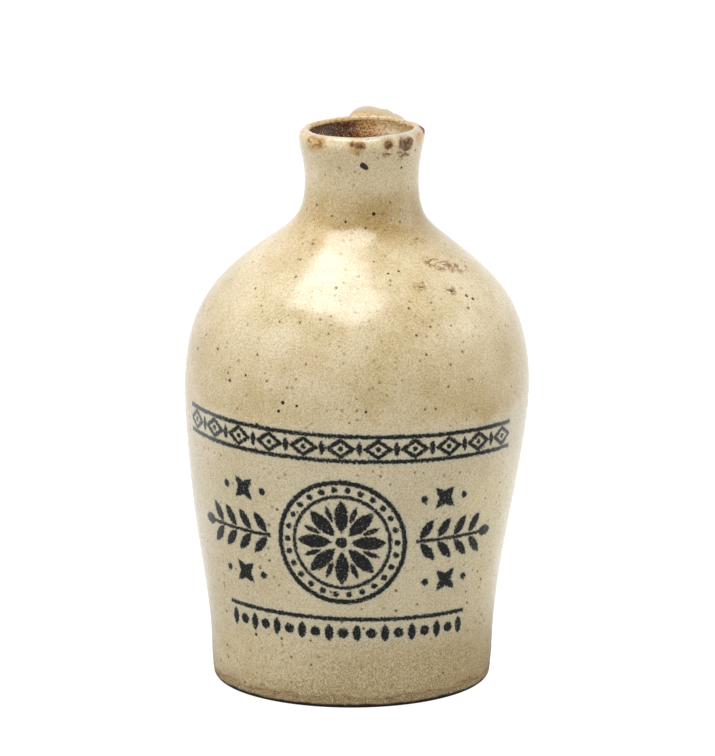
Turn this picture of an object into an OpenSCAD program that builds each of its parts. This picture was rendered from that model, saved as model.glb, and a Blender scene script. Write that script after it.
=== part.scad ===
// Miniature stoneware jug with a strap handle.
// The clay pot stands on the XY plane with its axis on Z, and the handle is on the +Y side.

/* [Pot] */
// Height of the lip above the table
jug_h = 89; // [86:0.5:96]
// Diameter of the belly at its widest ring
belly_d = 54.9; // [50:0.1:60]
// Height of the widest ring above the table
belly_z = 47.5; // [42:0.5:52]
// Diameter of the glazed wall just above the foot
foot_d = 45; // [40:0.5:49]
// Height of the upright band above the foot
foot_h = 4.4; // [3:0.1:6]
// Rounding of the bare clay edge under the foot
foot_round = 0.8; // [0.4:0.1:1.1]
// Height of the clay left bare above the table
bare_h = 1.6; // [1.2:0.1:2.6]
// Diameter where the dome turns into the root of the neck
turn_d = 32.4; // [28:0.2:35]
// Depth of that turning ring below the lip
turn_drop = 19.5; // [17:0.5:22]
// Lean of the dome from upright at that ring, in degrees
turn_lean = 51.7; // [42:0.1:58]

/* [Neck] */
// Diameter of the neck at its narrowest ring
neck_d = 18.1; // [17.6:0.1:19.4]
// Depth of the narrowest ring below the lip
neck_drop = 8.5; // [7:0.5:10]
// Outer diameter of the lip
lip_d = 19.9; // [19.4:0.1:22]
// Thickness of the rounded lip
lip_t = 1.6; // [1.2:0.1:1.9]
// Diameter of the straight throat, measured on its glaze
throat_d = 14.8; // [13:0.1:15.2]
// Length of the straight throat
throat_len = 10; // [8:0.5:11]
// Height over which the throat flares to the lip
flare_h = 2.7; // [2:0.1:3.5]

/* [Walls] */
// Thickness of the clay wall
wall_t = 3; // [2:0.1:4]
// Thickness of the clay floor
floor_t = 4; // [3:0.1:6]
// Radius of the corner between floor and wall inside
corner_r = 4; // [2:0.5:6]
// Thickness of the outer glaze
glaze_t = 0.3; // [0.2:0.05:0.5]
// Thickness of the liner glaze inside
liner_t = 0.25; // [0.15:0.05:0.5]

/* [Handle] */
// Width of the strap where it leaves the neck
strap_top_w = 8.6; // [7:0.1:10]
// Width of the strap where it lands on the shoulder
strap_foot_w = 7.4; // [6:0.1:9]
// Thickness of the strap
strap_t = 2.8; // [2.2:0.1:3.4]
// Reach of the strap's back from the jug's axis
reach = 24.4; // [22:0.2:27]
// Depth of the furthest point of the back below the lip
reach_drop = 8.8; // [7:0.2:11]
// Height of the strap's crown above the lip
crown_rise = 0.05; // [0:0.05:1.5]
// Distance of the crown from the jug's axis
crown_y = 14; // [13:0.2:16]
// Depth below the lip at which the strap leaves the neck
root_drop = 4.2; // [3.6:0.1:5]
// Climb of the strap as it leaves the neck, in degrees
root_climb = 42; // [30:1:48]
// Depth below the lip at which the strap lands on the shoulder
land_drop = 21.2; // [20:0.2:23]
// Fall of the strap as it lands on the shoulder, in degrees
land_fall = 62; // [50:1:75]
// Radius of the rolls of slip that join the strap to the pot
luting_r = 2.8; // [2.7:0.1:3.2]
// Depth of each roll's middle inside the clay
luting_sink = 1; // [0.8:0.1:1.2]
// Stretch by which each roll stands out past the strap's edges
luting_over = 1.3; // [0.9:0.1:2]

/* [Hidden] */
$fn = 96;

// How hard each end of a stretch of outline pulls along its own direction, as shares of the stretch
wall_pull_shares = [0.23, 0.28];
dome_pull_shares = [0.52, 0.31];
root_pull_shares = [0.48, 0.49];
neck_pull_shares = [0.6, 0.6];
flare_pull_shares = [0.4, 0.5];
throat_pull_shares = [0.4, 0.5];
rise_pull_shares = [0.38, 0.45];
back_pull_shares = [0.55, 0.55];
fall_pull_shares = [0.4, 0.4];

// Pieces that each curve is drawn in
wall_steps = 10;
dome_steps = 16;
root_steps = 12;
neck_steps = 8;
lip_steps = 8;
corner_steps = 6;
strap_steps = 9;
section_sides = 20;
// Roundness of the strap's section, where 1 is an ellipse and 0 a box
edge_round_share = 0.55;
face_round_share = 0.8;

up = [0, 1];
turn_dir = [-sin(turn_lean), cos(turn_lean)];
lip_r = lip_t / 2;
lip_ring_r = lip_d / 2 - lip_r;
lip_z = jug_h - lip_r;
throat_top_z = lip_z - flare_h;
throat_foot_z = throat_top_z - throat_len;

// Stations of the glazed outline, as distance from the axis and height
foot_at = [foot_d / 2, foot_h];
belly_at = [belly_d / 2, belly_z];
turn_at = [turn_d / 2, jug_h - turn_drop];
neck_at = [neck_d / 2, jug_h - neck_drop];
lip_at = [lip_d / 2, lip_z];

// Four control points of the curve from a to b that leaves along da and arrives along db
function bow(a, b, da, db, pulls) =
    let (span = norm(b - a))
    [a, a + da * pulls[0] * span, b - db * pulls[1] * span, b];
function bow_at(p, t) =
    pow(1 - t, 3) * p[0] + 3 * pow(1 - t, 2) * t * p[1] + 3 * (1 - t) * t * t * p[2] + pow(t, 3) * p[3];
function bow_dir(p, t) =
    let (d = pow(1 - t, 2) * (p[1] - p[0]) + 2 * (1 - t) * t * (p[2] - p[1]) + t * t * (p[3] - p[2]))
    d / norm(d);
function right_of(d) = [d[1], -d[0]];
// Points along a curve, shifted to its right by off, without its first point
function bow_points(p, off, steps) =
    [for (i = [1:steps]) bow_at(p, i / steps) + off * right_of(bow_dir(p, i / steps))];
function arc_points(centre, r, from, to, steps) =
    [for (i = [0:steps]) let (a = from + (to - from) * i / steps) centre + r * [cos(a), sin(a)]];
function backwards(list) = [for (i = [len(list) - 1:-1:0]) list[i]];
function above(list, z) = [for (p = list) if (p[1] > z) p];
// Distance of an outline from the axis at a height, for points that rise all the way
function radius_at(list, z) = lookup(z, [for (p = list) [p[1], p[0]]]);

wall_bow = bow(foot_at, belly_at, up, up, wall_pull_shares);
dome_bow = bow(belly_at, turn_at, up, turn_dir, dome_pull_shares);
root_bow = bow(turn_at, neck_at, turn_dir, up, root_pull_shares);
neck_bow = bow(neck_at, lip_at, up, up, neck_pull_shares);

// The outside from the top of the upright band to the lip's widest ring, shifted outwards by off
function side_points(off) = concat(
    [foot_at + [off, 0]],
    bow_points(wall_bow, off, wall_steps),
    bow_points(dome_bow, off, dome_steps),
    bow_points(root_bow, off, root_steps),
    bow_points(neck_bow, off, neck_steps));
function outside_points(off) = concat(
    side_points(off),
    arc_points([lip_ring_r, lip_z], lip_r + off, 180 / lip_steps, 180, lip_steps - 1));

// The hollow of the clay from the floor's middle up to the lip, shrunk by off for the liner
hollow_turn_at = turn_at - wall_t * right_of(turn_dir);
throat_r = throat_d / 2 + liner_t;
throat_bow = bow(hollow_turn_at, [throat_r, throat_foot_z], turn_dir, up, throat_pull_shares);
mouth_at = [lip_ring_r - lip_r + glaze_t, lip_z];
flare_bow = bow([throat_r, throat_top_z], mouth_at, up, up, flare_pull_shares);
hollow_corner_z = floor_t + corner_r;
hollow_corner_at = [radius_at(side_points(-wall_t), hollow_corner_z) - corner_r, hollow_corner_z];
function hollow_points(off) = concat(
    [[0, floor_t + off]],
    arc_points(hollow_corner_at, corner_r - off, -90, 0, corner_steps),
    above(bow_points(wall_bow, -wall_t - off, wall_steps), hollow_corner_z),
    bow_points(dome_bow, -wall_t - off, dome_steps),
    bow_points(throat_bow, -off, root_steps),
    [[throat_r - off, throat_top_z]],
    bow_points(flare_bow, -off, neck_steps));

// The pot without its hollow, for the cuts that seat other pieces on it
module pot_form(off) {
    rotate_extrude()
        polygon(concat([[0, 0], [foot_at[0] + off, 0]], outside_points(off), [[0, lip_z]]));
}

module vessel() {
    clay_foot_r = foot_at[0] - glaze_t;
    color("tan")
        rotate_extrude()
            polygon(concat(
                [[0, 0]],
                arc_points([clay_foot_r - foot_round, foot_round], foot_round, -90, 0, corner_steps),
                outside_points(-glaze_t),
                backwards(hollow_points(0))));
}

module outer_glaze() {
    color("wheat")
        difference() {
            rotate_extrude()
                polygon(concat(
                    [[foot_at[0], bare_h]],
                    outside_points(0),
                    backwards(outside_points(-glaze_t)),
                    [[foot_at[0] - glaze_t, bare_h]]));
            luting_form(neck_roll_at, strap_top_w);
            luting_form(shoulder_roll_at, strap_foot_w);
        }
}

module inner_glaze() {
    color("saddlebrown")
        rotate_extrude()
            polygon(concat(hollow_points(0), backwards(hollow_points(liner_t))));
}

// The strap's centre line, as distance behind the axis and height
function seat_at(drop) = [radius_at(side_points(-glaze_t), jug_h - drop), jug_h - drop];
neck_seat = seat_at(root_drop);
shoulder_seat = seat_at(land_drop);
root_dir = [cos(root_climb), sin(root_climb)];
land_dir = [-cos(land_fall), -sin(land_fall)];
neck_roll_at = neck_seat - luting_sink * root_dir;
shoulder_roll_at = shoulder_seat + luting_sink * land_dir;
// The strap's ends start inside the clay, deep enough for its edges to meet the round wall
function bite(seat, w) = seat[0] - sqrt(pow(seat[0], 2) - pow(w / 2, 2)) + strap_t;
root_at = neck_seat - bite(neck_seat, strap_top_w) * root_dir;
land_at = shoulder_seat + bite(shoulder_seat, strap_foot_w) * land_dir;
strap_back_t = strap_t / 2 + glaze_t;
crown_at = [crown_y, jug_h + crown_rise - strap_back_t];
reach_at = [reach - strap_back_t, jug_h - reach_drop];
rise_bow = bow(root_at, crown_at, root_dir, [1, 0], rise_pull_shares);
back_bow = bow(crown_at, reach_at, [1, 0], -up, back_pull_shares);
fall_bow = bow(reach_at, land_at, -up, land_dir, fall_pull_shares);
strap_bows = [rise_bow, back_bow, fall_bow];
ring_count = len(strap_bows) * strap_steps + 1;

function rounded(v, share) = sign(v) * pow(abs(v), share);
// One ring of the strap's surface, grown by grow on every side
function strap_ring(i, grow) =
    let (
        b = min(floor(i / strap_steps), len(strap_bows) - 1),
        t = i / strap_steps - b,
        mid = bow_at(strap_bows[b], t),
        out = -right_of(bow_dir(strap_bows[b], t)),
        w = strap_top_w + (strap_foot_w - strap_top_w) * i / (ring_count - 1)
    )
    [for (k = [0:section_sides - 1])
        let (
            a = 360 * k / section_sides,
            x = (w / 2 + grow) * rounded(cos(a), edge_round_share),
            n = (strap_t / 2 + grow) * rounded(sin(a), face_round_share)
        )
        [x, mid[0] + n * out[0], mid[1] + n * out[1]]];
function strap_points(grow) = [for (i = [0:ring_count - 1]) each strap_ring(i, grow)];
// The two triangles between corner k of ring i and the next corners, counted from first
function tile(first, i, k) =
    let (
        a = first + i * section_sides + k,
        b = first + i * section_sides + (k + 1) % section_sides
    )
    [[a, a + section_sides, b], [b, a + section_sides, b + section_sides]];
function flipped(faces) = [for (f = faces) backwards(f)];
function side_faces(first) =
    [for (i = [0:ring_count - 2]) for (k = [0:section_sides - 1]) each tile(first, i, k)];
function cap_faces(ring) =
    [for (k = [1:section_sides - 2]) [0, k, k + 1] + ring * section_sides * [1, 1, 1]];
// The ring of triangles that closes the strap's skin at ring i, between its two surfaces
function rim_faces(i, inner_first) =
    [for (k = [0:section_sides - 1])
        let (
            a = i * section_sides + k,
            b = i * section_sides + (k + 1) % section_sides
        )
        each [[a, b, inner_first + a], [b, inner_first + b, inner_first + a]]];

module strap_form() {
    polyhedron(
        strap_points(0),
        concat(side_faces(0), cap_faces(0), flipped(cap_faces(ring_count - 1))));
}

module handle() {
    color("tan")
        difference() {
            strap_form();
            pot_form(-glaze_t);
            luting_form(neck_roll_at, strap_top_w);
            luting_form(shoulder_roll_at, strap_foot_w);
        }
}

module handle_glaze() {
    outer = strap_points(glaze_t);
    color("wheat")
        difference() {
            polyhedron(
                concat(outer, strap_points(0)),
                concat(
                    side_faces(0),
                    flipped(side_faces(len(outer))),
                    rim_faces(0, len(outer)),
                    flipped(rim_faces(ring_count - 1, len(outer)))));
            pot_form(0);
            luting_form(neck_roll_at, strap_top_w);
            luting_form(shoulder_roll_at, strap_foot_w);
        }
}

// A roll of slip along X, round at its ends, with its middle at a place behind the axis and a height
module luting_form(at, w) {
    half = w / 2 + luting_over;
    translate([0, at[0], at[1]])
        rotate([0, 90, 0])
            rotate_extrude()
                polygon(concat(
                    arc_points([0, luting_r - half], luting_r, -90, 0, corner_steps),
                    arc_points([0, half - luting_r], luting_r, 0, 90, corner_steps)));
}

module luting(at, w) {
    color("wheat")
        difference() {
            luting_form(at, w);
            pot_form(-glaze_t);
        }
}

module upper_luting() {
    luting(neck_roll_at, strap_top_w);
}

module lower_luting() {
    luting(shoulder_roll_at, strap_foot_w);
}

vessel();
outer_glaze();
inner_glaze();
handle();
handle_glaze();
upper_luting();
lower_luting();
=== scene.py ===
"""The looks of a miniature stoneware jug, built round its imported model."""
import math

import bpy
from bpy.props import FloatProperty, FloatVectorProperty, IntProperty, PointerProperty
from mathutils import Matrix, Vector, noise


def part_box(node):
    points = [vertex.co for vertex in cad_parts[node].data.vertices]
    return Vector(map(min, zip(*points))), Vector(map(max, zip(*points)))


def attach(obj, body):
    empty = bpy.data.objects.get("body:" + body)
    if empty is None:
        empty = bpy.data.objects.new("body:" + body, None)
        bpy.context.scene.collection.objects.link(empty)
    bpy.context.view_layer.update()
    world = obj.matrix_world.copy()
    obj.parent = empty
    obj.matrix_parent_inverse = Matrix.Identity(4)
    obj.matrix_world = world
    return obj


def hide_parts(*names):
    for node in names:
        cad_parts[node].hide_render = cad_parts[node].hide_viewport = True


bl_info = {
    "name": "Stoneware jug",
    "version": (1, 0, 0),
    "blender": (4, 5, 0),
    "location": "View3D > Sidebar > Jug",
    "description": "A miniature stoneware jug with a printed front and a strap handle",
    "category": "Add Mesh",
}

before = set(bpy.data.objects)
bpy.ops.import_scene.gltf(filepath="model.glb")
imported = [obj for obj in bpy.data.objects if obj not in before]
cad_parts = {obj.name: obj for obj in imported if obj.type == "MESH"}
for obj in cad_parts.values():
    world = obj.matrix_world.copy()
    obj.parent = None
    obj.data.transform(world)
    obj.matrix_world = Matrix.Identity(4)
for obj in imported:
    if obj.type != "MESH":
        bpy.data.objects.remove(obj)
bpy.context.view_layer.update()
MM = 0.001
GLAZE_NAME = "pale_glaze"

GLAZE_LOW, GLAZE_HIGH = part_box("outer_glaze")
LINER_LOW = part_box("inner_glaze")[0]
STRAP_LOW, STRAP_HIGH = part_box("handle_glaze")

# How hard each end of a stretch of outline pulls along its own direction, as shares of the stretch
WALL_PULLS = (0.23, 0.28)
DOME_PULLS = (0.52, 0.31)
ROOT_PULLS = (0.48, 0.49)
NECK_PULLS = (0.55, 0.22)
THROAT_PULLS = (0.4, 0.5)
FLARE_PULLS = (0.4, 0.5)
RISE_PULLS = (0.38, 0.45)
BACK_PULLS = (0.55, 0.55)
FALL_PULLS = (0.4, 0.4)
UP = Vector((0, 1))
OUT = Vector((1, 0))
# Moves a place to another part of the same noise
OFF_GRID = Vector((11.3, 7.9, 5.1))
# Corners closer than this are one corner
WELD = 0.001 * MM

# Where the camera stands: degrees from straight in front, and above the table
CAMERA_TURN = 9.0
CAMERA_LIFT = 13.2


def length(label, text, default):
    """A size in metres that a user can change."""
    return FloatProperty(name=label, description=text, default=default, unit="LENGTH", precision=5)


def paint(label, text, default):
    """A colour that a user can change."""
    return FloatVectorProperty(
        name=label, description=text, default=default, subtype="COLOR", size=3, min=0, max=1)


class JugSizes(bpy.types.PropertyGroup):
    """Sizes of the pot and its strap."""

    height: length("Height", "Height of the lip above the table", GLAZE_HIGH.z)
    belly_radius: length("Belly radius", "Radius of the widest ring", GLAZE_HIGH.x)
    belly_height: length("Belly height", "Height of the widest ring", 47.5 * MM)
    foot_radius: length("Foot radius", "Radius of the glazed wall just above the foot", 22.5 * MM)
    foot_band: length("Foot band", "Height of the upright band above the foot", 4.4 * MM)
    foot_round: length("Foot rounding", "Rounding of the bare edge under the foot", 0.8 * MM)
    bare: length("Bare foot", "Height of the clay left bare above the table", GLAZE_LOW.z)
    turn_radius: length("Turn radius", "Radius where the dome turns into the neck's root", 16.2 * MM)
    turn_drop: length("Turn drop", "Depth of that ring below the lip", 19.5 * MM)
    turn_lean: FloatProperty(
        name="Turn lean", description="Lean of the dome from upright at that ring",
        default=math.radians(51.7), subtype="ANGLE")
    neck_radius: length("Neck radius", "Radius of the neck's narrowest ring", 9.05 * MM)
    neck_drop: length("Neck drop", "Depth of the narrowest ring below the lip", 8.5 * MM)
    lip_radius: length("Lip radius", "Outer radius of the lip", 9.95 * MM)
    lip_thickness: length("Lip thickness", "Thickness of the rounded lip", 1.75 * MM)
    lip_brow: length("Lip brow", "Distance of the lip's crest from its outer edge", 1.25 * MM)
    lip_drop: length("Lip drop", "Depth of the lip's widest ring below its crest", 1.5 * MM)
    lip_inner: length("Lip inner", "Depth of the lip's inner edge below its crest", 0.6 * MM)
    throat_radius: length("Throat radius", "Radius of the straight throat on its glaze", 7.4 * MM)
    throat_length: length("Throat length", "Length of the straight throat", 10 * MM)
    flare: length("Flare", "Depth below the lip at which the throat starts to flare", 3.5 * MM)
    wall: length("Wall", "Thickness of the clay wall", 3 * MM)
    floor: length("Floor", "Thickness of the clay floor", LINER_LOW.z)
    corner: length("Corner", "Radius of the corner between floor and wall inside", 4 * MM)
    glaze: length("Glaze", "Thickness of the outer glaze", 0.3 * MM)
    liner: length("Liner", "Thickness of the liner glaze", 0.25 * MM)
    strap_top_width: length("Strap top", "Width of the glazed strap at the neck", STRAP_HIGH.x - STRAP_LOW.x)
    strap_foot_width: length("Strap foot", "Width of the glazed strap at the shoulder", 8 * MM)
    strap_thickness: length("Strap thickness", "Thickness of the glazed strap", 3.4 * MM)
    reach: length("Reach", "Reach of the strap's back from the axis", STRAP_HIGH.y)
    reach_drop: length("Reach drop", "Depth of the furthest point of the back below the lip", 8.8 * MM)
    crown_height: length("Crown", "Height of the strap's crown above the table", STRAP_HIGH.z - 0.3 * MM)
    crown_reach: length("Crown reach", "Distance of the crown from the axis", 14 * MM)
    root_drop: length("Root drop", "Depth below the lip at which the strap leaves the neck", 4.2 * MM)
    root_climb: FloatProperty(
        name="Root climb", description="Climb of the strap as it leaves the neck",
        default=math.radians(42), subtype="ANGLE")
    land_drop: length("Landing drop", "Depth below the lip at which the strap lands", 21.2 * MM)
    land_fall: FloatProperty(
        name="Landing fall", description="Fall of the strap as it lands on the shoulder",
        default=math.radians(62), subtype="ANGLE")
    around: IntProperty(
        name="Segments", description="Segments of the outer glaze round the axis", default=448)


class JugFinish(bpy.types.PropertyGroup):
    """Colours of the clay, the glazes, the iron and the ink, and of the painted highlight on the lip's
    crest.
    """

    pale: paint("Pale glaze", "Glaze where it lies thick", (0.71, 0.60, 0.39))
    # The buff glaze also paints the shade on the neck
    buff: paint("Buff glaze", "Glaze where it lies thin over the clay", (0.56, 0.43, 0.215))
    cool: paint("Cool glaze", "Greyish glaze round the print", (0.63, 0.56, 0.39))
    clay: paint("Clay", "Bare clay of the foot", (0.40, 0.30, 0.155))
    rust: paint("Rust", "Iron stain where the lip is worn", (0.26, 0.10, 0.008))
    # The iron colour also paints the shadow, with some grime, on the foot's rounded edge
    iron: paint("Iron", "Iron specks melted through the glaze", (0.008, 0.004, 0.002))
    ink: paint("Ink", "Ink of the printed ornament", (0.0015, 0.0035, 0.003))
    halo: paint("Halo", "Glaze cooled by the ink beside it", (0.50, 0.49, 0.38))
    # The slip's darkest brown also stands for painted shade on the left of the inside
    slip: paint("Slip", "Brown liner of the inside", (0.105, 0.030, 0.003))
    # The sandy glaze also paints the shade on the right of the neck's root
    sandy: paint("Sandy glaze", "Thin glaze low on the wall, where the sand shows", (0.43, 0.32, 0.134))
    freckle: paint("Freckle", "Brown freckles", (0.15, 0.085, 0.03))
    orange: paint("Orange", "Glaze flushed by the iron under it", (0.56, 0.34, 0.115))
    ochre: paint("Ochre", "Worn scratches and scuffs", (0.18, 0.09, 0.010))
    dark_rust: paint("Dark rust", "The darkest of the worn iron", (0.036, 0.011, 0.001))
    # The crest colour is a painted highlight: a pale reflection painted on the front of the lip's crest
    crest: paint("Crest", "Glaze pooled thick on the lip's crest", (0.43, 0.45, 0.44))
    stain: paint("Foot stain", "Brown flush along the foot", (0.28, 0.17, 0.065))


def bow(start, end, leave, arrive, pulls):
    """The four control points of a curve that leaves start along leave and reaches end along arrive."""
    span = (end - start).length
    return start, start + leave * pulls[0] * span, end - arrive * pulls[1] * span, end


def bow_point(curve, t):
    """The point of a curve at t, from 0 to 1."""
    a, b, c, d = curve
    return a * (1 - t) ** 3 + b * 3 * (1 - t) ** 2 * t + c * 3 * (1 - t) * t * t + d * t ** 3


def bow_heading(curve, t):
    """The direction of a curve at t."""
    a, b, c, d = curve
    return ((b - a) * (1 - t) ** 2 + (c - b) * 2 * (1 - t) * t + (d - c) * t * t).normalized()


def right_of(heading):
    """The direction to the right of a heading, which is outwards where an outline rises."""
    return Vector((heading.y, -heading.x))


def bow_points(curve, shift, steps):
    """Points along a curve, shifted to its right, without its first point."""
    shares = [i / steps for i in range(1, steps + 1)]
    return [bow_point(curve, t) + right_of(bow_heading(curve, t)) * shift for t in shares]


def arc_points(centre, radius, start, end, steps):
    """Points along an arc, with its angles in degrees."""
    angles = [math.radians(start + (end - start) * i / steps) for i in range(steps + 1)]
    return [centre + Vector((math.cos(a), math.sin(a))) * radius for a in angles]


def smooth_share(value, low, high):
    """0 below low, 1 above high, and a smooth rise between them."""
    t = min(max((value - low) / (high - low), 0), 1)
    return t * t * (3 - 2 * t)


# How far the pot stands out of true: its base and its neck lie to either side of the belly
BASE_LEAN = -0.9 * MM
BASE_LEAN_ENDS = (20 * MM, 50 * MM)
NECK_LEAN = 0.7 * MM
NECK_LEAN_STARTS = (66 * MM, 78 * MM)
LEAN_DIRECTION = Vector((math.cos(math.radians(CAMERA_TURN)), math.sin(math.radians(CAMERA_TURN)), 0))
# How far the lip rises per metre across, and how oval and uneven the round is
RIM_TILT = Vector((0.026, 0.016, 0))
RIM_WARP = 0.10 * MM
RIM_WARP_RATE = 1.7
OVAL_SHARE = 0.004
OVAL_TURN = 2.6
WARP = 0.09 * MM
WARP_SIZE = 11 * MM
# Between these heights the foot's true ring passes into the uneven wall, and the neck into the lip
FOOT_RISE = (1 * MM, 6 * MM)
RIM_RISE = (80 * MM, 88 * MM)
# The throwing rings: their depth and pitch, and how they wander and fade
RIPPLE = 0.03 * MM
RIPPLE_PITCH = 2.6 * MM
RIPPLE_PATCH = 17 * MM
RIPPLE_DRIFT = 0.6
RIPPLE_SWAY = 0.8
RIPPLE_SWAY_RATE = 90
RIPPLE_SPOT = (3, 5)
# Chips of the lip, and one lump: degrees to the right, height, reach and depth in millimetres. A chip also
# falls by a share of its depth
CHIP_GRAIN = 0.5 * MM
CHIP_FALL = Vector((0, 0, 0.6))
LIP_CHIPS = (
    (-38, 88.3, 1.5, 0.08), (3, 88.2, 1.1, 0.10), (9, 88.1, 0.9, 0.12), (34, 87.9, 1.0, 0.16),
    (51, 87.9, 1.3, 0.20), (57, 87.3, 0.9, 0.14), (99, 88.4, 1.0, -0.25), (132, 88.5, 4.2, 0.50),
)


def lean(height):
    """How far the pot's middle lies from the axis at a height."""
    base = BASE_LEAN * (1 - smooth_share(height, *BASE_LEAN_ENDS))
    return LEAN_DIRECTION * (base + NECK_LEAN * smooth_share(height, *NECK_LEAN_STARTS))


class Outline:
    """The pot's true form as points of distance from the axis and height."""

    # Steps of the wall, the dome, the neck's root and the neck, where the form is looked up
    FINE = (60, 40, 30, 20)

    def __init__(self, s):
        self.s = s
        self.turn = Vector((-math.sin(s.turn_lean), math.cos(s.turn_lean)))
        foot = Vector((s.foot_radius, s.foot_band))
        belly = Vector((s.belly_radius, s.belly_height))
        turn = Vector((s.turn_radius, s.height - s.turn_drop))
        neck = Vector((s.neck_radius, s.height - s.neck_drop))
        self.crest = Vector((s.lip_radius - s.lip_brow, s.height))
        self.foot = foot
        self.curves = (
            bow(foot, belly, UP, UP, WALL_PULLS),
            bow(belly, turn, UP, self.turn, DOME_PULLS),
            bow(turn, neck, self.turn, UP, ROOT_PULLS),
            bow(neck, Vector((s.lip_radius, s.height - s.lip_drop)), UP, UP, NECK_PULLS),
        )
        self.table = self.side(0, self.FINE)
        self.chips = [
            (self.on_wall(degrees, height), reach * MM, depth * MM)
            for degrees, height, reach, depth in LIP_CHIPS
        ]

    def side(self, shift, steps):
        """The outside from the top of the foot's band to the lip, shifted outwards."""
        points = [self.foot + OUT * shift]
        for curve, count in zip(self.curves, steps):
            points += bow_points(curve, shift, count)
        return points

    def outside(self, shift, steps, lip_steps):
        """The outside from the foot's band over the lip to its inner edge."""
        s = self.s
        brow = Vector((s.lip_brow, s.lip_drop))
        rim = Vector((s.lip_thickness - s.lip_brow, s.lip_inner))
        over = []
        for i in range(1, lip_steps + 1):
            turn = math.pi * i / lip_steps
            bend = brow if turn <= math.pi / 2 else rim
            half, drop = bend + Vector((shift, shift))
            low = self.crest.y - bend.y
            over.append(Vector((self.crest.x + half * math.cos(turn), low + drop * math.sin(turn))))
        return self.side(shift, steps) + over

    def hollow(self, shift, steps, lip_steps):
        """The hollow of the clay from the middle of its floor to the lip, shrunk for the liner."""
        s = self.s
        corner_at = s.floor + s.corner
        corner = Vector((self.radius(corner_at) - s.wall - s.corner, corner_at))
        throat = s.throat_radius + s.liner
        throat_top = s.height - s.flare
        turn = self.curves[1][3] - right_of(self.turn) * s.wall
        foot = Vector((throat, throat_top - s.throat_length))
        mouth = Vector((s.lip_radius - s.lip_thickness + s.glaze, s.height - s.lip_inner))
        wall = bow_points(self.curves[0], -s.wall - shift, steps[0])
        rises = [s.throat_length * i / steps[3] for i in range(1, steps[3] + 1)]
        return (
            [Vector((0, s.floor + shift))]
            + arc_points(corner, s.corner - shift, -90, 0, lip_steps)
            + [point for point in wall if point.y > corner_at]
            + bow_points(self.curves[1], -s.wall - shift, steps[1])
            + bow_points(bow(turn, foot, self.turn, UP, THROAT_PULLS), -shift, steps[2])
            + [Vector((throat - shift, foot.y + rise)) for rise in rises]
            + bow_points(bow(Vector((throat, throat_top)), mouth, UP, UP, FLARE_PULLS), -shift, lip_steps)
        )

    def radius(self, height):
        """Distance of the glazed outside from the axis at a height."""
        last = self.table[0]
        for point in self.table:
            if point.y >= height:
                t = (height - last.y) / (point.y - last.y) if point.y > last.y else 1
                return last.x + (point.x - last.x) * max(t, 0)
            last = point
        return last.x

    def slope(self, height):
        """How fast the radius grows with height."""
        rise = 0.3 * MM
        return (self.radius(height + rise) - self.radius(height - rise)) / (2 * rise)

    def on_wall(self, degrees, height):
        """The point of the true wall at degrees to the right and a height in millimetres."""
        radius = self.radius(height * MM)
        angle = math.radians(degrees)
        return Vector((radius * math.sin(angle), -radius * math.cos(angle), height * MM))

    def height_over(self, point):
        """How far a point stands out of the true wall."""
        return (math.hypot(point.x, point.y) - self.radius(point.z)) / math.hypot(1, self.slope(point.z))

    def normal(self, point):
        """The direction straight out of the true wall at a point of it."""
        radius = math.hypot(point.x, point.y)
        return Vector((point.x / radius, point.y / radius, -self.slope(point.z))).normalized()

    def seated(self, point, sink):
        """A point moved onto the true wall, and sunk into it."""
        share = (self.radius(point.z) - sink) / math.hypot(point.x, point.y)
        return Vector((point.x * share, point.y * share, point.z))

    def thrown(self, point, ripple=1.0):
        """Where throwing, firing and wear left a point of the true form."""
        angle = math.atan2(point.y, point.x)
        side = Vector((math.cos(angle), math.sin(angle), 0))
        radius = math.hypot(point.x, point.y)
        rise = smooth_share(point.z, *FOOT_RISE)
        swell = OVAL_SHARE * math.cos(2 * angle + OVAL_TURN) * radius
        swell += rise * WARP * noise.noise(point / WARP_SIZE)
        drift = noise.noise(side * RIPPLE_SWAY + point * RIPPLE_SWAY_RATE)
        turns = point.z / RIPPLE_PITCH + angle / math.tau + RIPPLE_DRIFT * drift
        waves = 0.5 + noise.noise(Vector((*RIPPLE_SPOT, point.z / RIPPLE_PATCH)))
        swell += ripple * rise * RIPPLE * math.sin(turns * math.tau) * waves
        moved = point + side * swell * smooth_share(radius, 0, 2 * MM) + lean(point.z)
        rim = smooth_share(point.z, *RIM_RISE)
        if rim > 0:
            moved.z += rim * (RIM_TILT.dot(point) + RIM_WARP * noise.noise(side * RIM_WARP_RATE))
            for centre, reach, depth in self.chips:
                near = 1 - ((point - centre).length / reach) ** 2
                if near > 0:
                    rough = 0.75 + 0.5 * noise.noise(point / CHIP_GRAIN)
                    moved -= (side + CHIP_FALL) * depth * near * near * rough
        return moved


def deselect():
    """Leaves nothing selected, because operators act on all that is."""
    if bpy.context.object and bpy.context.object.mode != "OBJECT":
        bpy.ops.object.mode_set(mode="OBJECT")
    bpy.ops.object.select_all(action="DESELECT")


def take(name):
    """Names the object that an operator just added, and its mesh."""
    obj = bpy.context.object
    obj.name = name
    obj.data.name = name
    return obj


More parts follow.
